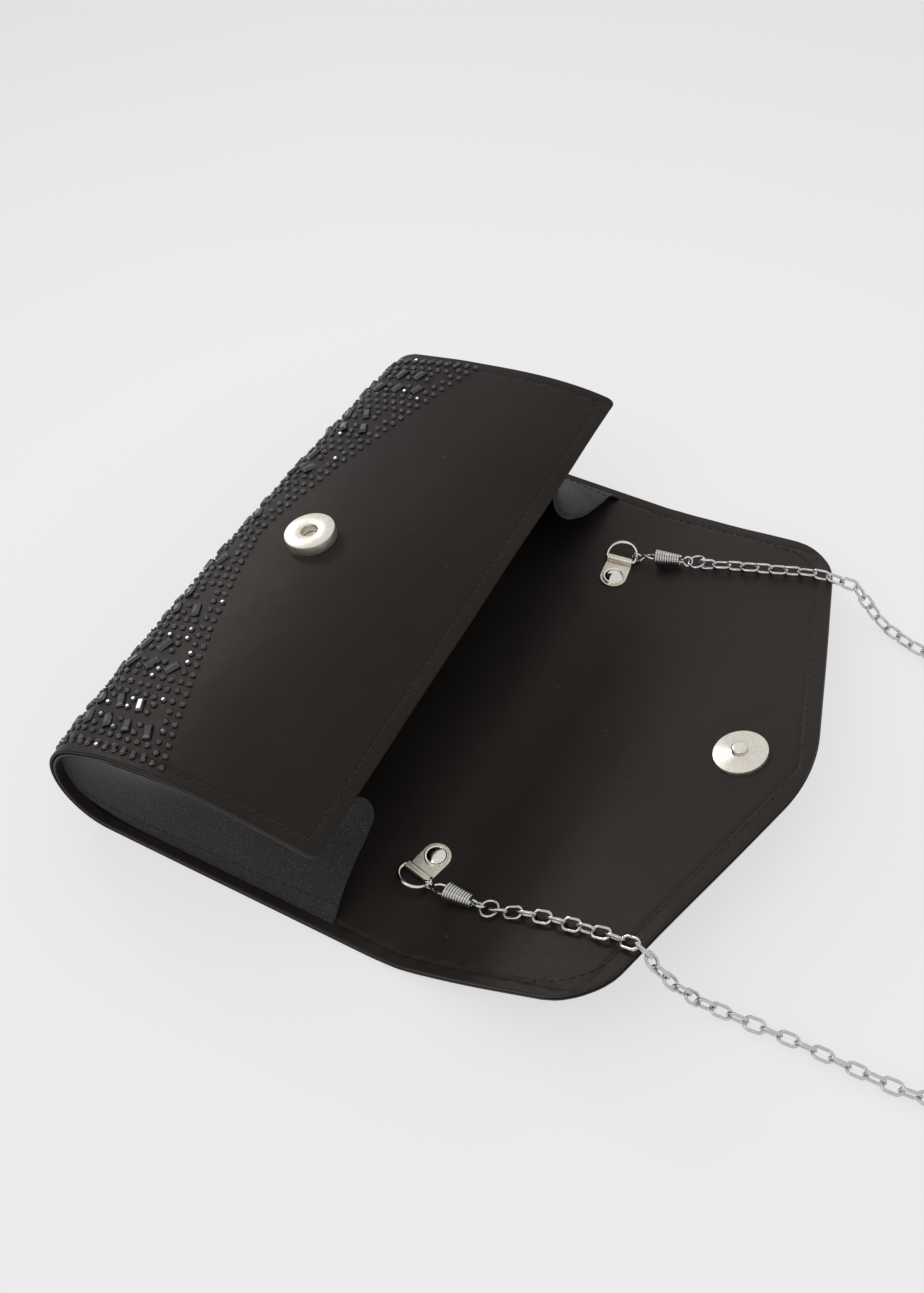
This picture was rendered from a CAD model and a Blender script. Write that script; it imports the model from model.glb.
"""Looks of the evening bag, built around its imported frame.

Sizes are in millimetres from the line where the flap's strip meets the back panel, at table
height; place() turns them into the frame's metres. X runs along the bottom fold, Y from the
flap's point to the bottom fold.
"""

import math
import random

import bpy
import numpy as np
from mathutils import Matrix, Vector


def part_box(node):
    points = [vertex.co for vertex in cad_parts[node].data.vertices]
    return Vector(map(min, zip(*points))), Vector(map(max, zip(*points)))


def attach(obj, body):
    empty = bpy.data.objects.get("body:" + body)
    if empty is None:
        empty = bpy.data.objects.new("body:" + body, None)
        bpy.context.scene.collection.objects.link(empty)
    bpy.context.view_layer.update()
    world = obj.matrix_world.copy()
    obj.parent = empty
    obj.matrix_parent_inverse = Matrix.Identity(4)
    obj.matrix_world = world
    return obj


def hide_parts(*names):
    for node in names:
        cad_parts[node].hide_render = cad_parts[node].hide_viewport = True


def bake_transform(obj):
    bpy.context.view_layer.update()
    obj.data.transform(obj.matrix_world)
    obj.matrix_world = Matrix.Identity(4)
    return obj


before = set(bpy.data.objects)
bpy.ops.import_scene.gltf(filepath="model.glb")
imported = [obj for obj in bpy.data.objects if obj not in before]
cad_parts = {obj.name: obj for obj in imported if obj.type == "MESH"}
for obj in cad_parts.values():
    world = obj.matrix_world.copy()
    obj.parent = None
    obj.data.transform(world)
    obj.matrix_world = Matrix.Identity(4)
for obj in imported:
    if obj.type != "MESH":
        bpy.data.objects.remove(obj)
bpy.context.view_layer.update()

# ---- sizes shared with the frame, in millimetres ----

MM = 0.001
BARE_FOLD = 1.3
HINGE_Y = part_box("back_satin")[0].y - BARE_FOLD * MM
HALF_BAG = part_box("back_satin")[1].x / MM
HALF_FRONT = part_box("front_lining")[1].x / MM
HALF_FLAP_CORNER = 103.0
STACK = 2.4
MID = STACK / 2
BACK_H = 86.0
BOTTOM_R = 20.0
CREASE_TURN = 20.5
FRONT_BOW = 5.5
FRONT_TOP = np.array([3.0, 44.5])
SPINE_H = 24.0
FLAP_TILT = 15.0
FLAP_SIDE = 61.6
FLAP_TIP = 91.4
SNAP_REACH = 68.4


def place(points):
    """Millimetres from the hinge line to metres in the frame."""
    moved = np.asarray(points, float) * MM
    return moved + np.array([0.0, HINGE_Y, 0.0])


# ---- camera ----

def make_camera():
    data = bpy.data.cameras.new("camera")
    data.sensor_width = 36.0
    data.lens = 40.72
    data.clip_start = 0.01
    camera = bpy.data.objects.new("camera", data)
    ahead = np.array([0.5464, 0.3365, -0.7670])
    up = np.array([0.6847, 0.3479, 0.6404])
    right = np.cross(ahead, up)
    right /= np.linalg.norm(right)
    up = np.cross(right, ahead)
    eye = place([-273.1, -156.6, 401.7])
    camera.matrix_world = Matrix([
        [right[i], up[i], -ahead[i], eye[i]] for i in range(3)
    ] + [[0.0, 0.0, 0.0, 1.0]])
    bpy.context.scene.collection.objects.link(camera)
    bpy.context.scene.camera = camera


# ---- materials ----

class Nodes:
    """Short calls to build one material's node tree."""

    def __init__(self, name):
        self.material = bpy.data.materials.new(name)
        self.material.use_nodes = True
        self.tree = self.material.node_tree
        self.shader = self.tree.nodes["Principled BSDF"]
        self.place = self.add("ShaderNodeTexCoord").outputs["Object"]

    def add(self, kind, **sockets):
        node = self.tree.nodes.new(kind)
        for socket, value in sockets.items():
            self.put(node.inputs[socket.replace("_", " ")], value)
        return node

    def put(self, socket, value):
        if isinstance(value, bpy.types.NodeSocket):
            self.tree.links.new(value, socket)
        else:
            socket.default_value = value

    def look(self, **sockets):
        for socket, value in sockets.items():
            self.put(self.shader.inputs[socket.replace("_", " ")], value)

    def noise(self, scale, detail=2.0, rough=0.5, where=None):
        node = self.add("ShaderNodeTexNoise", Vector=where or self.place, Scale=scale,
                        Detail=detail, Roughness=rough)
        return node.outputs["Fac"]

    def stretched(self, scale):
        node = self.add("ShaderNodeMapping", Vector=self.place)
        node.inputs["Scale"].default_value = scale
        return node.outputs["Vector"]

    def ramp(self, factor, stops):
        node = self.add("ShaderNodeValToRGB", Fac=factor)
        ramp = node.color_ramp
        while len(ramp.elements) < len(stops):
            ramp.elements.new(0.5)
        for element, (at, colour) in zip(ramp.elements, stops):
            element.position = at
            element.color = colour if hasattr(colour, "__len__") else (colour,) * 3 + (1.0,)
        return node.outputs["Color"]

    def bump(self, height, distance, strength=1.0, normal=None):
        node = self.add("ShaderNodeBump", Height=height, Distance=distance, Strength=strength)
        if normal is not None:
            self.put(node.inputs["Normal"], normal)
        return node.outputs["Normal"]

    def maths(self, kind, a, b):
        node = self.tree.nodes.new("ShaderNodeMath")
        node.operation = kind
        self.put(node.inputs[0], a)
        self.put(node.inputs[1], b)
        return node.outputs[0]


def satin(name, colour, roughness=0.42, shine=0.30):
    """Woven satin: fine ribs one way, soft creasing, a few specks of dust."""
    n = Nodes(name)
    ribs = n.noise(1.0, 2.0, 0.6, n.stretched((420.0, 5200.0, 5200.0)))
    creases = n.noise(26.0, 3.0, 0.55)
    dust = n.ramp(n.noise(950.0, 1.0, 0.4), [(0.0, 0.0), (0.80, 0.0), (0.84, 1.0)])
    tone = n.ramp(creases, [(0.25, tuple(0.82 * c for c in colour) + (1.0,)),
                            (0.75, tuple(1.18 * c for c in colour) + (1.0,))])
    mix = n.add("ShaderNodeMix")
    mix.data_type = "RGBA"
    n.put(mix.inputs["Factor"], n.maths("MULTIPLY", dust, 0.35))
    n.put(mix.inputs["A"], tone)
    n.put(mix.inputs["B"], (0.30, 0.29, 0.28, 1.0))
    rough = n.ramp(ribs, [(0.3, roughness - 0.06), (0.7, roughness + 0.08)])
    normal = n.bump(creases, 0.0012, 0.6)
    n.look(Base_Color=mix.outputs["Result"], Roughness=rough,
           Normal=n.bump(ribs, 0.00006, 0.5, normal))
    n.shader.inputs["Specular IOR Level"].default_value = shine
    n.shader.inputs["Specular Tint"].default_value = (1.0, 0.86, 0.80, 1.0)
    n.shader.inputs["Sheen Weight"].default_value = 0.04
    n.shader.inputs["Sheen Roughness"].default_value = 0.4
    return n.material


def suede(name, colour):
    """Brushed cloth with a short pile and a faint glitter."""
    n = Nodes(name)
    pile = n.noise(1900.0, 3.0, 0.7)
    cloud = n.noise(60.0, 3.0, 0.6)
    glitter = n.ramp(n.noise(3200.0, 0.0, 0.0), [(0.0, 0.0), (0.68, 0.0), (0.72, 1.0)])
    tone = n.ramp(pile, [(0.3, tuple(0.45 * c for c in colour) + (1.0,)),
                         (0.7, tuple(1.6 * c for c in colour) + (1.0,))])
    mix = n.add("ShaderNodeMix")
    mix.data_type = "RGBA"
    n.put(mix.inputs["Factor"], n.maths("MULTIPLY", glitter, n.maths("MULTIPLY", cloud, 0.5)))
    n.put(mix.inputs["A"], tone)
    n.put(mix.inputs["B"], (0.22, 0.22, 0.23, 1.0))
    n.look(Base_Color=mix.outputs["Result"], Roughness=0.78,
           Normal=n.bump(pile, 0.0002, 0.8))
    n.shader.inputs["Specular IOR Level"].default_value = 0.3
    n.shader.inputs["Sheen Weight"].default_value = 0.08
    return n.material


def thread(name, colour):
    n = Nodes(name)
    twist = n.noise(1.0, 1.0, 0.5, n.stretched((2600.0, 2600.0, 2600.0)))
    n.look(Base_Color=n.ramp(twist, [(0.3, tuple(0.6 * c for c in colour) + (1.0,)),
                                     (0.7, tuple(1.4 * c for c in colour) + (1.0,))]),
           Roughness=0.6, Normal=n.bump(twist, 0.0001, 0.6))
    return n.material


def metal(name, colour, roughness, brushed=0.0, grain=900.0):
    """Plated metal: tiny dents, and brushing where the real one has it."""
    n = Nodes(name)
    spots = n.noise(grain, 2.0, 0.6)
    strokes = n.noise(1.0, 2.0, 0.6, n.stretched((500.0, 6000.0, 500.0)))
    tone = n.ramp(spots, [(0.3, tuple(0.9 * c for c in colour) + (1.0,)),
                          (0.7, tuple(min(1.0, 1.06 * c) for c in colour) + (1.0,))])
    rough = n.ramp(n.noise(300.0, 2.0), [(0.3, max(0.03, roughness - 0.05)),
                                         (0.7, roughness + 0.06)])
    n.look(Base_Color=tone, Roughness=rough,
           Normal=n.bump(strokes if brushed else spots, 0.00002, brushed or 0.15))
    n.shader.inputs["Metallic"].default_value = 1.0
    return n.material


def crystal(name):
    """Black cut glass, glued to black cloth."""
    n = Nodes(name)
    haze = n.noise(700.0, 1.0)
    n.look(Base_Color=n.ramp(haze, [(0.3, (0.002, 0.002, 0.002, 1.0)),
                                    (0.7, (0.006, 0.0055, 0.006, 1.0))]),
           Roughness=n.ramp(haze, [(0.3, 0.03), (0.7, 0.09)]))
    n.shader.inputs["IOR"].default_value = 1.72
    n.shader.inputs["Coat Weight"].default_value = 0.20
    n.shader.inputs["Coat Roughness"].default_value = 0.03
    return n.material


def floor_finish():
    """Matte white paper, a little darker far away."""
    n = Nodes("floor_paper")
    far = n.add("ShaderNodeTexGradient", Vector=n.stretched((0.7, 0.7, 0.7)))
    far.gradient_type = "SPHERICAL"
    cloud = n.maths("MULTIPLY", n.noise(3.0, 2.0), 0.06)
    tone = n.ramp(n.maths("ADD", far.outputs["Fac"], cloud),
                  [(0.60, (0.13, 0.13, 0.131, 1.0)), (0.88, (0.25, 0.25, 0.251, 1.0))])
    n.look(Base_Color=tone, Roughness=0.9)
    # bounced light from a pale room, which leaves hardly any shadow
    n.shader.inputs["Emission Color"].default_value = (1.0, 1.0, 1.0, 1.0)
    n.shader.inputs["Emission Strength"].default_value = 0.62
    n.shader.inputs["Specular IOR Level"].default_value = 0.1
    return n.material


SATIN = satin("satin_black", (0.0100, 0.0082, 0.0070))
FRONT_SATIN = satin("satin_front", (0.0100, 0.0080, 0.0068), 0.44, 0.18)
LINING = satin("lining_black", (0.0095, 0.0078, 0.0068), 0.46)
SUEDE = suede("suede_charcoal", (0.0150, 0.0138, 0.0142))
THREAD = thread("thread_black", (0.008, 0.0075, 0.007))
CRYSTAL = crystal("crystal_black")
SNAP_METAL = metal("snap_nickel", (0.80, 0.76, 0.68), 0.34, 0.2)
TAB_METAL = metal("tab_nickel", (0.70, 0.66, 0.55), 0.28, 0.5)
RING_METAL = metal("ring_nickel", (0.78, 0.76, 0.70), 0.14)
CHAIN_METAL = metal("chain_nickel", (0.60, 0.595, 0.58), 0.12)


# ---- the cloth's section: one path from the front's top edge to the flap's point ----

def turn(angle):
    return np.array([math.sin(math.radians(angle)), math.cos(math.radians(angle))])


BOTTOM_CENTRE = np.array([BACK_H, BOTTOM_R])
CREASE = BOTTOM_CENTRE + BOTTOM_R * turn(CREASE_TURN)
CHORD = float(np.linalg.norm(CREASE - FRONT_TOP))
FRONT_R = CHORD ** 2 / 8 / FRONT_BOW + FRONT_BOW / 2
CHORD_UP = np.array([FRONT_TOP[1] - CREASE[1], CREASE[0] - FRONT_TOP[0]]) / CHORD
FRONT_CENTRE = (CREASE + FRONT_TOP) / 2 + CHORD_UP * (FRONT_BOW - FRONT_R)


def polar(point):
    d = point - FRONT_CENTRE
    return math.degrees(math.atan2(d[0], d[1]))


TOP_POLAR, CREASE_POLAR = polar(FRONT_TOP), polar(CREASE)
FRONT_LEN = (FRONT_R - MID) * math.radians(CREASE_POLAR - TOP_POLAR)
BOTTOM_LEN = (BOTTOM_R - MID) * math.radians(180 - CREASE_TURN)
AT_BACK = FRONT_LEN + BOTTOM_LEN          # where the flat back panel starts
AT_HINGE = AT_BACK + BACK_H
AT_FOLD = AT_HINGE + SPINE_H
MID_SPINE = AT_HINGE + SPINE_H / 2
SOFT = 9.0                               # the cloth bends at the flap's fold over twice this


def section(s):
    """Points and outward normals of the mid layer at path lengths s, as [y, z] arrays."""
    s = np.asarray(s, float)
    front = np.radians(TOP_POLAR) + s / (FRONT_R - MID)
    low = np.radians(CREASE_TURN) + (s - FRONT_LEN) / (BOTTOM_R - MID)
    flat_y = BACK_H - (s - AT_BACK)
    from_fold = s - AT_FOLD
    past = np.where(from_fold > SOFT, from_fold, (from_fold + SOFT) ** 2 / 4 / SOFT)
    tilt = math.radians(FLAP_TILT)
    ys = np.select(
        [s < FRONT_LEN, s < AT_BACK, from_fold < -SOFT],
        [FRONT_CENTRE[0] + (FRONT_R - MID) * np.sin(front),
         BACK_H + (BOTTOM_R - MID) * np.sin(low), flat_y],
        -SPINE_H - from_fold + past * (1 - math.cos(tilt)))
    zs = np.select(
        [s < FRONT_LEN, s < AT_BACK, from_fold < -SOFT],
        [FRONT_CENTRE[1] + (FRONT_R - MID) * np.cos(front),
         BOTTOM_R + (BOTTOM_R - MID) * np.cos(low), np.full_like(s, MID)],
        MID + past * math.sin(tilt))
    bend = np.clip((from_fold + SOFT) / 2 / SOFT, 0, 1) * tilt
    ny = np.select([s < FRONT_LEN, s < AT_BACK], [np.sin(front), np.sin(low)], -np.sin(bend))
    nz = np.select([s < FRONT_LEN, s < AT_BACK], [np.cos(front), np.cos(low)], -np.cos(bend))
    return ys, zs, ny, nz


def smooth(t):
    t = np.clip(t, 0, 1)
    return t * t * (3 - 2 * t)


def ripple(x, s, seed, size):
    """Gentle waves, the same each run."""
    rng = random.Random(seed)
    total = 0
    for _ in range(5):
        a, b, c = rng.uniform(-1, 1), rng.uniform(-1, 1), rng.uniform(0, 6.28)
        total = total + np.sin((a * x + b * s) / size + c)
    return total / 5


FLAP_WARP = 6.5                          # one end of the flap rises, the other drops
FLAP_CUP = 1.2                           # both ends rise


def flap_twist(x, t):
    """Rise of the flap at a distance t past its fold: the left end stands higher."""
    side = x / HALF_BAG
    rise = -FLAP_WARP * side * np.abs(side) + FLAP_CUP * side ** 2
    return rise * np.clip(t / 60, 0, 1.2) ** 1.7


def edge_distance(x, s):
    """Distance to the nearest free edge of the sheet."""
    across = half_width(s) - np.abs(x)
    top = np.where(s < AT_BACK, s, 1e3)
    spread = (FLAP_TIP - FLAP_SIDE) / HALF_FLAP_CORNER
    tip = (FLAP_TIP - (s - AT_FOLD) - np.abs(x) * spread) / math.hypot(1, spread)
    return np.minimum(np.minimum(across, top), np.where(s > AT_FOLD, tip, 1e3))


def half_width(s):
    """Half of the sheet's width at path length s."""
    flap = np.clip((s - AT_FOLD) / FLAP_SIDE, 0, 1)
    widen = smooth((s - FRONT_LEN + 20) / 40)
    return HALF_FRONT + (HALF_BAG - HALF_FRONT) * widen + (HALF_FLAP_CORNER - HALF_BAG) * flap


STITCH_IN = 4.0                          # distance of the stitch lines from the edges
BROAD_WAVE = 0.45
FINE_WAVE = 0.14
EDGE_WAVE = 0.9
STITCH_DENT = 0.28
PUCKER = 0.16
PUCKER_PITCH = 1.3
SNAP_CALM = 12.0                         # the waves die out this near to a snap's middle
FRONT_RISE = 0.6
FRONT_WARP = 3.5                         # the front's right end stands this much higher
FRONT_SKEW = 2.0
BOTTOM_PINCH = 3.0                       # the rounded bottom is drawn in at its ends


def calm(x, s, middle):
    """0 under a snap and 1 away from it."""
    return smooth(np.hypot(x, s - middle) / SNAP_CALM - 0.9)


def cloth(x, s, off):
    """Where the cloth lies: x across, s along the path, off outward from the middle layer."""
    x, s = np.broadcast_arrays(np.asarray(x, float), np.asarray(s, float))
    y, z, ny, nz = section(s)
    side = x / HALF_BAG
    gap = edge_distance(x, s)
    front = smooth((60 - s) / 55) * (s < AT_BACK)
    fold = smooth(1 - np.abs(s - FRONT_LEN - 20) / 48)
    flap = np.clip(s - AT_FOLD, 0, None)
    wave = ripple(x, s, 7, 17.0) * BROAD_WAVE + ripple(x, s, 11, 7.0) * FINE_WAVE
    wave = wave * smooth((s - AT_BACK + 30) / -30 + 1)
    loose = np.where(s > AT_FOLD, smooth(flap / 30), np.where(s < FRONT_LEN, 1.0, 0.0))
    edge = np.exp(-gap / 9) * ripple(x, s, 23, 9.0) * EDGE_WAVE * loose
    seam = -STITCH_DENT * np.exp(-((gap - STITCH_IN) / 0.75) ** 2)
    pucker = PUCKER * np.sin(x / PUCKER_PITCH + 2 * ripple(x, s, 5, 6.0)) \
        * np.sin(s / PUCKER_PITCH) * np.exp(-((gap - STITCH_IN - 0.5) / 2.5) ** 2)
    wave = wave * loose * calm(x, s, SNAP_S) * calm(x, s, AT_FOLD + SNAP_REACH)
    lift = wave + edge + pucker
    out = off + lift * np.where(s > AT_FOLD, -1, 1)
    out = out + np.sign(off) * seam * (np.abs(off) > 0.6)
    dy = front * FRONT_SKEW * side - BOTTOM_PINCH * side ** 2 * fold
    height = z + nz * out + front * (FRONT_RISE + FRONT_WARP * side) + flap_twist(x, flap)
    height = np.where(s < AT_FOLD, np.maximum(height, 0.0), height)
    return np.stack([x, y + ny * out + dy, height], -1)


# ---- mesh tools ----

def add_mesh(name, verts, faces, material, smooth_faces=True):
    """A piece from points in millimetres."""
    mesh = bpy.data.meshes.new(name)
    mesh.from_pydata([tuple(p) for p in place(verts)], [], [tuple(f) for f in faces])
    mesh.materials.append(material)
    if smooth_faces:
        mesh.polygons.foreach_set("use_smooth", [True] * len(mesh.polygons))
    mesh.update()
    piece = bpy.data.objects.new(name, mesh)
    bpy.context.scene.collection.objects.link(piece)
    return piece


def joined(parts):
    """Several (points, faces) as one."""
    verts, faces, base = [], [], 0
    for points, polygons in parts:
        verts.append(np.asarray(points, float))
        faces.extend([tuple(base + i for i in f) for f in polygons])
        base += len(points)
    return np.concatenate(verts), faces


RIM = 5                                  # steps around a sheet's edge


def slab(surface, xs, ss, low, high):
    """A closed sheet between offsets low and high, with round edges. xs and ss are grids."""
    rows, columns = xs.shape
    top, bottom = surface(xs, ss, high), surface(xs, ss, low)
    r = (high - low) / 2
    loop = [(i, 0) for i in range(rows)] + [(rows - 1, j) for j in range(1, columns)] \
        + [(i, columns - 1) for i in range(rows - 2, -1, -1)] \
        + [(0, j) for j in range(columns - 2, 0, -1)]
    inner = [(min(max(i, 1), rows - 2), min(max(j, 1), columns - 2)) for i, j in loop]
    a, b = tuple(zip(*loop)), tuple(zip(*inner))
    outward = (top + bottom)[a] - (top + bottom)[b]
    outward /= np.linalg.norm(outward, axis=1)[:, None] + 1e-9
    rims = []
    for k in range(1, RIM):
        t = math.pi * k / RIM
        part = (1 - math.cos(t)) / 2
        rims.append(top[a] * (1 - part) + bottom[a] * part + outward * r * math.sin(t))
    count = rows * columns
    verts = np.concatenate([top.reshape(-1, 3), bottom.reshape(-1, 3)] + rims)
    faces = []
    for i in range(rows - 1):
        for j in range(columns - 1):
            p = i * columns + j
            quad = (p, p + columns, p + columns + 1, p + 1)
            faces.append(quad)
            faces.append(tuple(count + q for q in reversed(quad)))
    size = len(loop)
    upper = [i * columns + j for i, j in loop]
    rings = [upper] + [[2 * count + k * size + q for q in range(size)] for k in range(RIM - 1)]
    rings.append([count + q for q in upper])
    for ring_a, ring_b in zip(rings, rings[1:]):
        for q in range(size):
            n = (q + 1) % size
            faces.append((ring_a[n], ring_a[q], ring_b[q], ring_b[n]))
    return verts, faces


def edge_grid(step_wide, step_edge, edge=9.0):
    """Positions from -1 to 1 that are closer together near both ends, for a width of 1."""
    near = np.arange(0, edge, step_edge)
    wide = np.linspace(edge, HALF_BAG, int((HALF_BAG - edge) / step_wide) + 1)
    half = 1 - np.concatenate([near, wide]) / HALF_BAG
    half[-1] = 0
    return np.concatenate([-half, half[::-1][1:]])


def corner_drop(x, half, r):
    """How far a round corner of radius r is cut back at x."""
    into = np.clip(np.abs(x) - (half - r), 0, r)
    return r - np.sqrt(np.maximum(r * r - into * into, 0))


SEAM = 0.05                              # a thin last row, which keeps seams flush
COARSE = 2.6
FINE = 0.45
FLAP_CORNER_R = 14.0


def front_grid(from_s, to_s, round_r=2.5):
    """Grids of x and s over the front panel and the rounded bottom."""
    u = edge_grid(COARSE, FINE)
    v = np.concatenate([np.arange(0, 9, FINE), np.linspace(9, 90.5, 36),
                        np.linspace(91.5, to_s - from_s - SEAM, 34), [to_s - from_s]])
    uu, vv = np.meshgrid(u, v / (to_s - from_s), indexing="ij")
    start = from_s + corner_drop(uu * HALF_FRONT, HALF_FRONT, round_r)
    ss = start + vv * (to_s - start)
    return uu * half_width(ss), ss


def flap_front(x):
    """Path length of the flap's front edge at x, with its corners and blunt point rounded."""
    x = np.abs(x)
    spread = (FLAP_TIP - FLAP_SIDE) / HALF_FLAP_CORNER
    blunt = 16.0
    slope = FLAP_TIP + 1.3 - np.where(x > blunt, x, (x * x / blunt + blunt) / 2) * spread
    return AT_FOLD + slope - corner_drop(x, HALF_FLAP_CORNER, FLAP_CORNER_R)


def flap_grid(from_s):
    """Grids of x and s from the spine strip to the flap's front edge."""
    u = edge_grid(COARSE, FINE)
    v = np.concatenate([[0, 0.0004], np.linspace(0.01, 0.88, 44), np.linspace(0.885, 1.0, 26)])
    uu, vv = np.meshgrid(u, v, indexing="ij")
    end = flap_front(uu * HALF_FLAP_CORNER)
    ss = from_s + vv * (end - from_s)
    return uu * half_width(ss), ss


def back_grid(from_s, to_s):
    """Grids of x and s over the back panel and half of the spine strip."""
    u = edge_grid(COARSE, FINE)
    v = np.concatenate([[from_s, from_s + SEAM], np.linspace(from_s + 2, to_s - 2, 44),
                        [to_s - SEAM, to_s]])
    uu, ss = np.meshgrid(u, v, indexing="ij")
    return uu * half_width(ss), ss


OUTER = (0.25, MID)
INNER = (-MID, -0.3)


def find_snap():
    """Path length on the front panel under the socket."""
    low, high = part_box("snap_socket_base")
    y = ((low.y + high.y) / 2 - HINGE_Y) / MM
    return (FRONT_R - MID) * (math.asin((y - FRONT_CENTRE[0]) / FRONT_R)
                              - math.radians(TOP_POLAR))


SNAP_S = find_snap()


def crosses_crease(piece):
    along = 3 * turn(CREASE_TURN + 90)
    place([0, *(CREASE - along)])
    place([0, *(CREASE + along)])
    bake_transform(piece)


def crosses_hinge(piece):
    place([0, 3, 0])
    place([0, -3, 0])
    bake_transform(piece)


def crosses_fold(piece):
    place([0, 5 - SPINE_H, 0])
    place([0, -5 - SPINE_H, 0])
    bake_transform(piece)


def make_covers():
    outer = add_mesh("front_cover", *slab(cloth, *front_grid(0.0, AT_BACK), *OUTER),
                     FRONT_SATIN)
    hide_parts("front_satin", "bottom_satin", "front_board", "bottom_padding")
    inner = add_mesh("front_inside", *slab(cloth, *front_grid(0.35, AT_BACK), *INNER), LINING)
    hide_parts("front_lining", "bottom_lining")
    back = add_mesh("back_cover", *slab(cloth, *back_grid(AT_BACK, MID_SPINE), *OUTER), SATIN)
    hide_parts("back_satin", "back_board")
    pocket = add_mesh("back_inside", *slab(cloth, *back_grid(AT_BACK, MID_SPINE), *INNER),
                      LINING)
    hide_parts("back_lining")
    flap = add_mesh("flap_cover", *slab(cloth, *flap_grid(MID_SPINE), *OUTER), SATIN)
    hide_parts("flap_satin", "spine_satin", "flap_board", "spine_board")
    inside = add_mesh("flap_inside", *slab(cloth, *flap_grid(MID_SPINE), *INNER), LINING)
    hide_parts("flap_lining", "spine_lining")
    for piece in (outer, inner):
        crosses_crease(piece)
    for piece in (back, pocket):
        crosses_hinge(piece)
    for piece in (flap, inside):
        crosses_fold(piece)


# ---- stitching ----

def frames_on(surface, xs, ss, off):
    """Points on the cloth, and the normals away from its middle layer."""
    here = surface(xs, ss, off)
    out = surface(xs, ss, off + 0.5 * np.sign(off)) - here
    out /= np.linalg.norm(out, axis=1)[:, None]
    return here, out


def stitches(points, normals, pitch=3.0, length=2.3, r=0.24):
    """A row of thread stitches along a line of points."""
    steps = np.linalg.norm(np.diff(points, axis=0), axis=1)
    along = np.concatenate([[0], np.cumsum(steps)])
    parts = []
    ring = [(math.cos(2 * math.pi * k / 6), math.sin(2 * math.pi * k / 6)) for k in range(6)]
    profile = [(-0.5, 0.35, -0.12), (-0.4, 0.9, 0.02), (0, 1.0, 0.12), (0.4, 0.9, 0.02),
               (0.5, 0.35, -0.12)]
    for k in range(int(along[-1] / pitch)):
        at = pitch * (k + 0.5)
        sample = [np.array([np.interp(at + d, along, a[:, i]) for i in range(3)])
                  for a, d in ((points, -0.3), (points, 0.3), (points, 0), (normals, 0))]
        way = sample[1] - sample[0]
        way /= np.linalg.norm(way)
        side = np.cross(way, sample[3])
        verts = []
        for t, wide, up in profile:
            for c, w in ring:
                verts.append(sample[2] + way * length * t + sample[3] * (up + r * w * wide)
                             + side * r * c * wide)
        faces = [(6 * i + q, 6 * i + (q + 1) % 6, 6 * i + 6 + (q + 1) % 6, 6 * i + 6 + q)
                 for i in range(4) for q in range(6)]
        faces += [tuple(range(5, -1, -1)), tuple(range(24, 30))]
        parts.append((verts, faces))
    return joined(parts)


def seam_line(xs, ends, start, count):
    """From start along one side, over the far edge's points and back, as x and s arrays."""
    sides = np.linspace(start, ends[0], count)
    left_x = -(half_width(sides) - STITCH_IN)
    return (np.concatenate([left_x, xs, -left_x[::-1]]),
            np.concatenate([sides, ends, sides[::-1]]))


def front_seam():
    half = HALF_FRONT - STITCH_IN
    xs = np.linspace(-1, 1, 400) * half
    return seam_line(xs, STITCH_IN + corner_drop(xs, half, 0.5), FRONT_LEN + 20, 120)


def flap_seam():
    half = HALF_FLAP_CORNER - STITCH_IN
    xs = np.linspace(-1, 1, 400) * half
    spread = math.atan2(FLAP_TIP - FLAP_SIDE, HALF_FLAP_CORNER)
    ends = flap_front(xs * HALF_FLAP_CORNER / half) - STITCH_IN / math.cos(spread)
    return seam_line(xs, ends, MID_SPINE, 90)


def make_stitching():
    xs, ss = front_seam()
    front = add_mesh("front_stitching", *stitches(*frames_on(cloth, xs, ss, MID)), THREAD)
    crosses_crease(front)
    xs, ss = flap_seam()
    flap = add_mesh("flap_stitching", *stitches(*frames_on(cloth, xs, ss, -MID)), THREAD)
    crosses_fold(flap)
    outer = add_mesh("flap_outer_stitching", *stitches(*frames_on(cloth, xs, ss, MID)), THREAD)
    crosses_fold(outer)
    parts = []
    for side in (-1, 1):
        ss = np.linspace(AT_BACK - 20, MID_SPINE, 200)
        xs = side * (half_width(ss) - STITCH_IN)
        parts.append(stitches(*frames_on(cloth, xs, ss, MID)))
    back = add_mesh("back_stitching", *joined(parts), THREAD)
    crosses_hinge(back)


# ---- gussets ----

GUSSET_T = 0.9
GUSSET_TUCK = 11.0                       # depth of the fold into the bag
MOUTH_Y = 4.0
END_Y = BACK_H + BOTTOM_R - STACK - 1.5
# the gussets' free edges, from the back panel up to the front panel
MOUTH = {
    "left": [(-104.5, 0.5, 2.6), (-97.5, 0.3, 11), (-90, 0.2, 16.5), (-83, 0, 20.5),
             (-77.8, 0, 24.5), (-76.5, 1, 28.5), (-77.5, 2.5, 33), (-81, 4, 36.8),
             (-89, 4.5, 39), (-98, 5, 39.4), (-104.5, 6, 39)],
    "right": [(104.5, 0.5, 2.6), (101.5, 2.5, 6), (94, 2.5, 9), (86.5, 3, 11.5), (80, 3.2, 14.5),
              (74, 4, 18), (68.5, 5, 22), (66, 7, 25.5), (66.5, 9.5, 29.5), (71, 11, 34),
              (80, 10.5, 39), (93, 9, 43.5), (104.5, 8, 45)]}


def cavity(y):
    """Lowest and highest z inside the bag at y, along the ends."""
    r = BOTTOM_R - STACK
    past = np.clip(y - BACK_H, 0, r)
    low = np.where(y > BACK_H, BOTTOM_R - np.sqrt(r * r - past * past), STACK)
    high = FRONT_CENTRE[1] + np.sqrt((FRONT_R - STACK) ** 2 - (y - FRONT_CENTRE[0]) ** 2)
    round_top = BOTTOM_R + np.sqrt(r * r - past * past)
    return low, np.where(y > BACK_H, np.minimum(high, round_top), high)


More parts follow.
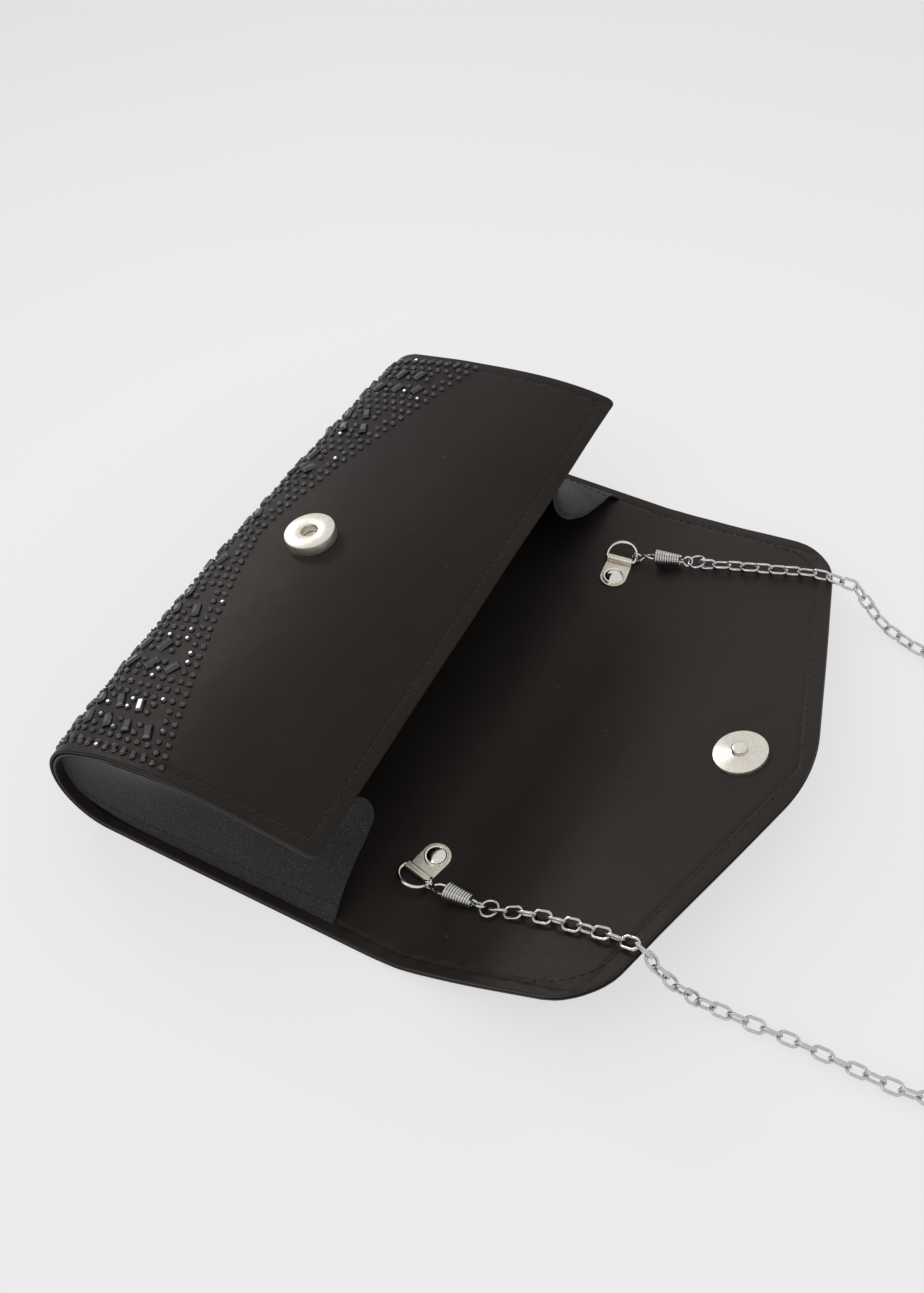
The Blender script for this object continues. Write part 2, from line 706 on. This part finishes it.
def gusset_point(name, t, part, off):
    """A point of a gusset: t runs from its mouth to the bottom fold, part from back to front."""
    side = -1 if name == "left" else 1
    mouth = smooth_route(MOUTH[name], 0.5)
    edge = [np.interp(part * (len(mouth) - 1), np.arange(len(mouth)), mouth[:, i])
            for i in range(3)]
    y = MOUTH_Y + (END_Y - MOUTH_Y) * t
    low, high = cavity(y)
    sag = np.clip(np.sin(np.pi * part), 0, 1)
    rise = FRONT_WARP * side * smooth((60 - y) / 55) * part
    hold = (1 - t) ** 1.6
    crush = (1.3 * np.sin(2.6 * part + 9 * t) + 1.1 * ripple(90 * t, 40 * part, 31, 9.0)) * sag
    tuck = GUSSET_TUCK * sag * np.clip(1 - t, 0, 1) ** 0.7
    inner_x = HALF_BAG - 3.2 - tuck - crush * (1 - t) * t * 4
    x = edge[0] * hold + side * inner_x * (1 - hold) - side * off
    z = edge[2] * hold + (low + (high - low) * part + rise) * (1 - hold)
    return np.stack([x, edge[1] * (1 - t) + y * t, z], -1)


def make_gussets():
    for name in ("left", "right"):
        t = np.concatenate([[0, 0.006], np.linspace(0.015, 1, 64)])
        tt, pp = np.meshgrid(t, np.linspace(0, 1, 60), indexing="ij")

        def surface(a, b, off):
            return gusset_point(name, a, b, off)

        verts, faces = slab(surface, tt, pp, 0.0, GUSSET_T)
        if name == "left":
            faces = [tuple(reversed(f)) for f in faces]
        cloth_piece = add_mesh(f"gusset_cloth_{name}", verts, faces, SUEDE)
        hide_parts(f"gusset_{name}")
        rows = []
        for line_t, line_part in ((np.linspace(0.02, 0.97, 300), np.full(300, 0.09)),
                                  (np.full(200, 0.042), np.linspace(0.06, 0.98, 200))):
            for off, way in ((0.0, -1), (GUSSET_T, 1)):
                here = surface(line_t, line_part, np.full_like(line_t, off))
                out = surface(line_t, line_part, np.full_like(line_t, off + 0.5)) - here
                out = way * out / np.linalg.norm(out, axis=1)[:, None]
                rows.append(stitches(here, out))
        seam = add_mesh(f"gusset_stitching_{name}", *joined(rows), THREAD)
        for piece in (cloth_piece, seam):
            place([0, 0, STACK])
            place([0, 0, FRONT_TOP[1] - 6])
            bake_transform(piece)


# ---- crystals ----

EDGE_MIDDLE = 86.5                       # path length where the stones begin, at the middle
EDGE_DROP = 32.0
CRYSTAL_REACH = 102.2
LAST_S = FRONT_LEN + (BOTTOM_R - MID) * math.radians(100 - CREASE_TURN)


def edge_s(x):
    """Path length at which the stones begin, at x."""
    u = np.abs(x) / CRYSTAL_REACH
    return EDGE_MIDDLE - (EDGE_DROP - 2.2 * np.sign(x)) * u ** 1.28


def round_stone(r=1.12, height=0.95):
    """A cut stone: a table, a crown of facets and a thin girdle."""
    n = 8
    rings = [(r * 0.96, -0.3, 0), (r, 0.28, 0), (r * 0.80, 0.62, 0.5), (r * 0.50, height, 0)]
    turn_k = 2 * math.pi / n
    verts = [(a * math.cos(turn_k * (k + o)), a * math.sin(turn_k * (k + o)), h)
             for a, h, o in rings for k in range(n)]
    faces = [(k, (k + 1) % n, n + (k + 1) % n, n + k) for k in range(n)]
    for k in range(n):
        j = (k + 1) % n
        faces.append((n + k, n + j, 2 * n + k))
        faces.append((2 * n + k, n + j, 2 * n + j))
        faces.append((2 * n + k, 3 * n + j, 3 * n + k))
        faces.append((2 * n + k, 2 * n + j, 3 * n + j))
    faces.append(tuple(range(3 * n, 4 * n)))
    return np.array(verts), faces


def baguette_stone(length=5.4, width=2.9, height=1.25):
    """An oblong stone with two bevelled steps."""
    verts = []
    for grow, h in ((0.97, -0.3), (1.0, 0.35), (0.80, 0.9), (0.50, height)):
        cut = (1 - grow) * width / 2
        a, b = length / 2 - cut, width / 2 - cut
        verts += [(-a, -b, h), (a, -b, h), (a, b, h), (-a, b, h)]
    faces = [(4 * i + k, 4 * i + (k + 1) % 4, 4 * i + 4 + (k + 1) % 4, 4 * i + 4 + k)
             for i in range(3) for k in range(4)]
    faces.append((12, 13, 14, 15))
    return np.array(verts), faces


PITCH = 3.85
EDGE_GAP = 3.6                           # between the two rows along the edge
ROW = 4.0                                # between rounds in a column
BAND = 25.2                              # between groups of columns
COLUMN = 3.9                             # between the columns of rounds in a group
HALF_PAIR = 4.2                          # from a group's middle to a column of baguettes
BAGUETTE_ROW = 4.5
BAGUETTE_LEAN = 28


def stone_plan():
    """(x, s, angle, kind) of every stone: two rows along the edge, then rounds and baguettes."""
    rng = random.Random(3)
    plan = []

    def stone(x, s, kind, angle=0.0):
        if abs(x) <= CRYSTAL_REACH + 0.5 and s < LAST_S:
            plan.append((x + rng.gauss(0, 0.12), s + rng.gauss(0, 0.12), angle, kind))

    count = int(2 * CRYSTAL_REACH / PITCH)
    for row in range(2):
        for k in range(count + 1):
            x = -CRYSTAL_REACH + k * 2 * CRYSTAL_REACH / count
            stone(x, float(edge_s(x)) + 1.2 + row * EDGE_GAP, "round", rng.uniform(0, 45))
    for k in range(9):
        for offset in (-COLUMN, 0.0, COLUMN):
            x = (k - 4) * BAND + offset
            x = max(-CRYSTAL_REACH, min(CRYSTAL_REACH, x))
            if abs(abs(x) - CRYSTAL_REACH) < 0.1 and offset == 0:
                continue
            for step in range(20):
                stone(x, float(edge_s(x)) + 8.6 + step * ROW, "round", rng.uniform(0, 45))
    for k in range(8):
        tilt = -BAGUETTE_LEAN if k % 2 else BAGUETTE_LEAN
        for row, offset in enumerate((-HALF_PAIR, HALF_PAIR)):
            x = (k - 3.5) * BAND + offset
            for step in range(20):
                s = float(edge_s(x)) + 10.2 + 2.2 * row + step * BAGUETTE_ROW
                if (step + row) % 2 == 0:
                    stone(x, s, "baguette", tilt + rng.uniform(-5, 5))
                else:
                    for shift in (-1.7, 1.7):
                        stone(x + shift, s, "round", rng.uniform(0, 45))
    return plan


def make_crystals():
    rng = random.Random(19)
    shapes = {"round": round_stone(), "baguette": baguette_stone()}
    parts = []
    plan = stone_plan()
    xs = np.array([p[0] for p in plan])
    ss = np.array([p[1] for p in plan])
    here = cloth(xs, ss, MID)
    along_x = cloth(xs + 0.4, ss, MID) - here
    along_s = cloth(xs, ss + 0.4, MID) - here
    for i, (_, _, angle, kind) in enumerate(plan):
        u = along_x[i] / np.linalg.norm(along_x[i])
        n = np.cross(along_s[i], u)
        n /= np.linalg.norm(n)
        n = -n if n @ (cloth(xs[i], ss[i], MID + 1) - here[i]) < 0 else n
        n = n + np.array([rng.gauss(0, 0.09) for _ in range(3)])
        n /= np.linalg.norm(n)
        u = u - n * (u @ n)
        u /= np.linalg.norm(u)
        v = np.cross(n, u)
        a = math.radians(angle)
        p, q = u * math.cos(a) + v * math.sin(a), -u * math.sin(a) + v * math.cos(a)
        size = rng.uniform(0.94, 1.04)
        verts, faces = shapes[kind]
        points = here[i] + size * (verts[:, :1] * p + verts[:, 1:2] * q + verts[:, 2:] * n)
        parts.append((points, faces))
    piece = add_mesh("crystals", *joined(parts), CRYSTAL, smooth_faces=False)
    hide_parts("crystal_band", "crystal_front")
    crosses_crease(piece)


# ---- chain ----

LEFT_ROUTE = [
    (-79.5, -53, 13), (-79, -62, 15.4), (-79.2, -71, 17.8), (-79.5, -80, 20.2), (-80.5, -88, 22.4),
    (-81.3, -92, 22.9), (-81, -98.5, 18.5), (-79.5, -105, 11), (-77.5, -110, 5.5), (-76, -117, 2.6),
    (-75.5, -128, 2.6), (-75, -140, 2.6), (-75, -152, 2.6), (-75, -164, 2.6), (-74, -176, 2.6),
    (-69, -187, 2.6), (-60, -196, 2.6), (-49, -203, 2.6), (-37, -208, 2.6), (-25, -211, 2.6),
    (-17, -212, 2.6)]
RIGHT_ROUTE = [
    (82, -53, 13), (83.5, -62, 15.4), (85, -71, 17.8), (86.8, -80, 20.2), (87, -88, 22.4),
    (87.3, -92.5, 21.6), (88, -97.5, 16), (88.8, -103, 9), (88.8, -107, 4.5), (87, -112, 2.6),
    (84, -119, 2.6), (81.5, -128, 2.6), (78, -139, 2.6), (71, -149, 2.6), (61, -157, 2.6),
    (49, -163, 2.6), (37, -167, 2.6), (27, -170, 2.6), (21, -172, 2.6)]
COIL_CENTRE = (5.0, -196.0)
COIL_OUTER = 26.2
COIL_INNER = 11.0
COIL_LAYERS = (2.6, 7.0)
LINK_PITCH = 5.09
LINK_LENGTH = 7.2
LINK_WIDTH = 4.9
LINK_WIRE = 1.1
LINK_SINK = 0.7                          # links lie this much lower than the CAD tube
LEAVES_FLAP = 70.0                       # distance past the fold where the chain drops off
LINK_ROLL = (-80, 6)                     # links stand and lie in turn
LINK_IN = 0.9                            # the end links reach this far into the jump rings


def smooth_route(points, step=1.0):
    """A Catmull-Rom curve through points, at even steps."""
    p = np.array(points, float)
    p = np.concatenate([[2 * p[0] - p[1]], p, [2 * p[-1] - p[-2]]])
    line = []
    for i in range(1, len(p) - 2):
        a, b, c, d = p[i - 1:i + 3]
        for t in np.arange(0, 1, 0.1):
            line.append(0.5 * (2 * b + (c - a) * t + (2 * a - 5 * b + 4 * c - d) * t ** 2
                               + (3 * b - a - 3 * c + d) * t ** 3))
    line.append(p[-2])
    line = np.array(line)
    along = np.concatenate([[0], np.cumsum(np.linalg.norm(np.diff(line, axis=0), axis=1))])
    at = np.arange(0, along[-1], step)
    return np.stack([np.interp(at, along, line[:, i]) for i in range(3)], 1)


def coil_turns(start, end):
    """Spiral inward on the table, then back outward on top of it."""
    centre = np.array(COIL_CENTRE)
    a0 = math.atan2(*(np.array(start[:2]) - centre)[::-1])
    a1 = math.atan2(*(np.array(end[:2]) - centre)[::-1])
    turns = 3
    span = 2 * math.pi * 2 * turns + ((a1 - a0) % (2 * math.pi))
    points = []
    steps = 16 * 2 * turns
    for i in range(1, steps):
        t = i / steps
        inward = 1 - abs(2 * t - 1)
        r = COIL_OUTER - (COIL_OUTER - COIL_INNER) * smooth(inward * 0.999) ** 0.9
        z = COIL_LAYERS[0] + (COIL_LAYERS[1] - COIL_LAYERS[0]) * smooth((t - 0.46) / 0.08)
        z = z - (COIL_LAYERS[1] - COIL_LAYERS[0]) * smooth((t - 0.97) / 0.03)
        a = a0 + span * t
        points.append((centre[0] + r * math.cos(a), centre[1] + r * math.sin(a), z))
    return points


def lie_on_flap(points):
    """The route's stretch on the flap follows the cloth's twist."""
    laid = []
    for x, y, z in points:
        t = (-SPINE_H - y) / math.cos(math.radians(FLAP_TILT))
        on_flap = 1.0 if t < LEAVES_FLAP else max(0.0, 1 - (t - LEAVES_FLAP) / 8)
        rise = float(flap_twist(np.array(x), np.array(t))) - LINK_SINK if y > -96 else 0.0
        laid.append((x, y, z + rise * on_flap))
    return laid


def link_mesh(centre, way, roll):
    """One oval link, its long axis along way, turned about it by roll."""
    way = way / np.linalg.norm(way)
    flat = np.cross([0, 0, 1.0], way)
    flat /= np.linalg.norm(flat) + 1e-9
    up = np.cross(way, flat)
    side = flat * math.cos(roll) + up * math.sin(roll)
    out = np.cross(way, side)
    straight = (LINK_LENGTH - LINK_WIDTH) / 2
    r = (LINK_WIDTH - LINK_WIRE) / 2
    verts, around, tube = [], 20, 7
    for k in range(around):
        a = 2 * math.pi * k / around
        u = r * math.cos(a) + math.copysign(straight, math.cos(a))
        v = r * math.sin(a)
        normal = way * math.cos(a) + side * math.sin(a)
        for q in range(tube):
            b = 2 * math.pi * q / tube
            verts.append(centre + way * u + side * v
                         + LINK_WIRE / 2 * (normal * math.cos(b) + out * math.sin(b)))
    faces = [(k * tube + q, ((k + 1) % around) * tube + q,
              ((k + 1) % around) * tube + (q + 1) % tube, k * tube + (q + 1) % tube)
             for k in range(around) for q in range(tube)]
    return verts, faces


def jump_ring_end(side):
    """Where the chain hooks into a jump ring."""
    low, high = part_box(f"jump_ring_{side}")
    middle = (low + high) / 2
    return np.array([middle.x / MM, (low.y - HINGE_Y) / MM + LINK_IN, middle.z / MM])


def make_chain():
    left, right = lie_on_flap(LEFT_ROUTE), lie_on_flap(RIGHT_ROUTE)
    start, end = jump_ring_end("left"), jump_ring_end("right")
    points = [tuple(start)] + left + coil_turns(left[-1], right[-1])
    points += right[::-1] + [tuple(end)]
    line = smooth_route(points)
    along = np.arange(len(line)) * 1.0
    rng = random.Random(5)
    parts = []
    count = int((along[-1] - 2) / LINK_PITCH)
    for k in range(count + 1):
        at = 1.0 + k * (along[-1] - 2.0) / count
        centre = np.array([np.interp(at, along, line[:, i]) for i in range(3)])
        ahead = np.array([np.interp(at + 2.5, along, line[:, i]) for i in range(3)])
        behind = np.array([np.interp(at - 2.5, along, line[:, i]) for i in range(3)])
        roll = math.radians(LINK_ROLL[k % 2] + rng.uniform(-12, 12))
        parts.append(link_mesh(centre, ahead - behind, roll))
    piece = add_mesh("chain", *joined(parts), CHAIN_METAL)
    path = place(line[::3])
    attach(piece, "flap")
    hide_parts("chain_left", "chain_right", "chain_coil")
    length = float(np.sum(np.linalg.norm(np.diff(path, axis=0), axis=1)))
    print("chain length", round(length, 4))
    tuple(place(start))


# ---- snap and fittings ----

def turned_about(axis, angle, points):
    """Points turned about the x, y or z axis."""
    a, b = [(1, 2), (2, 0), (0, 1)]["xyz".index(axis)]
    c, w = math.cos(math.radians(angle)), math.sin(math.radians(angle))
    out = np.array(points, float)
    out[:, a], out[:, b] = c * out[:, a] - w * out[:, b], w * out[:, a] + c * out[:, b]
    return out


def lathe(profile, around=64):
    """A turned shape from (radius, height) pairs, about +Z."""
    verts = [(r * math.cos(2 * math.pi * k / around), r * math.sin(2 * math.pi * k / around), h)
             for r, h in profile for k in range(around)]
    faces = [(i * around + k, i * around + (k + 1) % around,
              (i + 1) * around + (k + 1) % around, (i + 1) * around + k)
             for i in range(len(profile) - 1) for k in range(around)]
    return np.array(verts), faces


def wire(points, d, closed=False, sides=12):
    """A round wire along a line of points."""
    line = np.array(points, float)
    count = len(line)
    way = np.roll(line, -1, 0) - np.roll(line, 1, 0)
    if not closed:
        way[0], way[-1] = line[1] - line[0], line[-1] - line[-2]
    way /= np.linalg.norm(way, axis=1)[:, None]
    up = np.array([0.31, 0.17, 0.93])
    verts = []
    for k in range(count):
        up = up - way[k] * (up @ way[k])
        up /= np.linalg.norm(up)
        side = np.cross(way[k], up)
        verts += [line[k] + d / 2 * (math.cos(a) * up + math.sin(a) * side)
                  for a in np.arange(sides) * 2 * math.pi / sides]
    rings = count if closed else count - 1
    faces = [(k * sides + q, k * sides + (q + 1) % sides,
              (k + 1) % count * sides + (q + 1) % sides, (k + 1) % count * sides + q)
             for k in range(rings) for q in range(sides)]
    if not closed:
        faces += [tuple(range(sides - 1, -1, -1)),
                  tuple((count - 1) * sides + q for q in range(sides))]
    return np.array(verts), faces


def fitting(name, shape, move, material, body, replaced, smooth_faces=True):
    verts, faces = shape
    piece = add_mesh(name, move(verts), faces, material, smooth_faces)
    piece.data.set_sharp_from_angle(angle=math.radians(40))
    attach(piece, body)
    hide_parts(*replaced)


def on_flap(points):
    laid = turned_about("x", -FLAP_TILT, points + [0, -SNAP_REACH, STACK - MID])
    return laid + [0, -SPINE_H, MID]


def on_front(points):
    y = SOCKET_Y
    turned = turned_about("x", -math.degrees(math.asin((y - FRONT_CENTRE[0]) / FRONT_R)),
                          points + [0, 0, FRONT_R])
    return turned + [0, FRONT_CENTRE[0], FRONT_CENTRE[1]]


def socket_y():
    """Where the socket's foot stands on the satin."""
    low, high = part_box("snap_socket_base")
    return ((low.y + high.y) / 2 - HINGE_Y) / MM - 0.2


SOCKET_Y = socket_y()
SOCKET_PROFILE = [(9, 0), (9, 3.45), (8.85, 3.8), (8.45, 4), (3.5, 4), (3.15, 3.9), (3, 3.6),
                  (3, 1)]
STUD_PROFILE = [(9, 0), (9, 0.95), (8.85, 1.25), (8.45, 1.4), (2.95, 1.4), (2.65, 1.6),
                (2.65, 3.3), (2.4, 3.6), (1.9, 3.7), (0, 3.7)]
RIVET_PROFILE = [(3.9, 0), (3.9, 0.45), (3.75, 0.62), (3.4, 0.66), (3.1, 0.5), (2.95, 0.55),
                 (2.6, 0.85), (1.8, 1.1), (0.9, 1.2), (0, 1.22)]
# side, place and outward turn of each anchor tab
ANCHORS = {"left": (-1, 68.8, -16.3, 12.0), "right": (1, 65.6, -15.2, 7.0)}
TAB_T = 0.7
TAB_REACH = 8.2
BAR_Z = 1.38
RING_LIFT = 20.0
RING_WIRE = 1.2
RING_LEG = 1.8
RING_R = 5.4
HOOK_REACH = 2.2
CLIP_WIRE = 0.9
CLIP_TURN = {"left": 2.0, "right": 10.0}
CLIP_PITCH = 7.0
CLIP_AXIS_Z = 1.6
HOOK_R = 1.75
HOOK_AT = (0.5, 0.3)
EYE_X = 19.6
EYE_R = 1.6
EYE_LEAN = 1.13                          # the eye's radius across, as it leans by 45 degrees
CLIP_LEG = [(3.6, 1.2, 0.2), (7.2, 1.4, 1.3), (16.9, 0.6, CLIP_AXIS_Z)]
CLIP_TAIL = [(16.9, -0.6, CLIP_AXIS_Z), (9.5, -0.6, CLIP_AXIS_Z)]
GATE_ROUTE = [(7.1, -1.4, 2), (4.6, -0.9, 2.1), (3, 0, 1.9)]
SLEEVE_X = 7.8
SLEEVE_LENGTH = 8.9
SLEEVE_R = 2.75
SLEEVE_TURNS = 10.2


def at_anchor(name):
    side, x, y, angle = ANCHORS[name]
    return lambda p: turned_about("z", angle, p) * [side, 1, 1] + [side * x, y, STACK]


def at_hook(name):
    side, x, y, angle = ANCHORS[name]
    a, lift = math.radians(angle), math.radians(RING_LIFT)
    reach = TAB_REACH + HOOK_REACH * math.cos(lift)
    origin = [side * (x + reach * math.cos(a) + RING_R * math.sin(a)),
              y + reach * math.sin(a) - RING_R * math.cos(a),
              STACK + BAR_Z + HOOK_REACH * math.sin(lift)]

    def move(points):
        pitched = turned_about("y", -CLIP_PITCH, points)
        return turned_about("z", CLIP_TURN[name] - 90, pitched) * [side, 1, 1] + origin

    return move


def clip_line():
    """The clip's wire: its hook, a leg, the eye and the tail back into the sleeve."""
    hook = [(HOOK_AT[0] + HOOK_R * math.cos(a), 0, HOOK_AT[1] + HOOK_R * math.sin(a))
            for a in np.radians(np.arange(40, 311, 18))]
    eye = [(EYE_X + EYE_R * math.cos(a), EYE_LEAN * math.sin(a),
            CLIP_AXIS_Z + EYE_LEAN * math.sin(a))
           for a in np.radians(np.arange(150, -151, -20))]
    return smooth_route(hook + CLIP_LEG + eye + CLIP_TAIL, 0.25)


def sleeve_line():
    """The tapered winding around the clip's two wires."""
    a = np.arange(0, SLEEVE_TURNS * 2 * math.pi, 2 * math.pi / 22)
    part = a / a[-1]
    r = SLEEVE_R - part
    return np.stack([SLEEVE_X + SLEEVE_LENGTH * part, r * np.cos(a),
                     CLIP_AXIS_Z + r * np.sin(a)], 1)


def ring_line():
    """The D-ring's closed line, its bar along Y."""
    corner = [(0.9 * (1 - math.sin(a)), -RING_R + 0.9 * (1 - math.cos(a)), 0)
              for a in np.radians(np.arange(0, 91, 15))]
    bow = [(RING_LEG + RING_R * math.sin(a), RING_R * math.cos(a), 0)
           for a in np.radians(np.arange(0, 181, 7.5))]
    other = [(x, -y, 0) for x, y, _ in corner[::-1]]
    return np.array(corner + other + bow)


def make_fittings():
    fitting("socket_cap", lathe(SOCKET_PROFILE), on_front, SNAP_METAL, "front",
            ["snap_socket_cover"])
    fitting("stud_plate", lathe(STUD_PROFILE), on_flap, SNAP_METAL, "flap",
            ["snap_stud"])
    for name in ANCHORS:
        anchor, hook = at_anchor(name), at_hook(name)
        fitting(f"rivet_cap_{name}", lathe(RIVET_PROFILE, 40),
                lambda p: anchor(p + [0, 0, TAB_T]), RING_METAL, "spine",
                [f"rivet_{name}"])
        fitting(f"ring_wire_{name}", wire(ring_line(), RING_WIRE, closed=True),
                lambda p: anchor(turned_about("y", -RING_LIFT, p) + [TAB_REACH, 0, BAR_Z]),
                RING_METAL, f"ring_{name}", [f"d_ring_{name}"])
        fitting(f"clip_wire_{name}", wire(clip_line(), CLIP_WIRE), hook, CHAIN_METAL,
                f"clip_{name}", [f"clip_frame_{name}"])
        fitting(f"clip_sleeve_{name}", wire(sleeve_line(), CLIP_WIRE), hook, CHAIN_METAL,
                f"clip_{name}", [f"clip_coil_{name}"])
        fitting(f"gate_wire_{name}", wire(smooth_route(GATE_ROUTE, 0.3), CLIP_WIRE),
                hook, CHAIN_METAL, f"gate_{name}", [f"clip_gate_{name}"])


def dress_frame():
    finish = {"snap": SNAP_METAL, "anchor": TAB_METAL, "jump": CHAIN_METAL}
    for name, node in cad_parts.items():
        for start, material in finish.items():
            if name.startswith(start):
                node.data.materials.clear()
                node.data.materials.append(material)
                node.data.polygons.foreach_set("use_smooth", [True] * len(node.data.polygons))
                node.data.set_sharp_from_angle(angle=math.radians(35))


# ---- stage ----

def make_stage():
    bpy.ops.mesh.primitive_plane_add(size=6, location=(0, 0, 0))
    floor = bpy.context.object
    floor.name = "floor"
    floor.data.materials.append(floor_finish())
    world = bpy.data.worlds.new("studio")
    world.use_nodes = True
    world.node_tree.nodes["Background"].inputs["Color"].default_value = (1.0, 1.0, 1.0, 1.0)
    world.node_tree.nodes["Background"].inputs["Strength"].default_value = 0.80
    bpy.context.scene.world = world
    add_light("window", (0.68, 1.40, 0.80), 0.30, 3.4)
    add_light("lamp", (-0.9, 0.5, 1.3), 0.6, 1.5)
    bpy.context.scene.view_settings.view_transform = "Standard"


def add_light(name, at, size, watts):
    data = bpy.data.lights.new(name, "AREA")
    data.size = size
    data.energy = watts
    light = bpy.data.objects.new(name, data)
    light.location = at
    aim = -np.array(at)
    light.rotation_euler = (math.atan2(math.hypot(aim[0], aim[1]), -aim[2]), 0.0,
                            math.atan2(aim[1], aim[0]) - math.pi / 2)
    bpy.context.scene.collection.objects.link(light)


make_camera()
make_chain()
make_covers()
make_stitching()
make_gussets()
make_crystals()
make_fittings()
dress_frame()
make_stage()
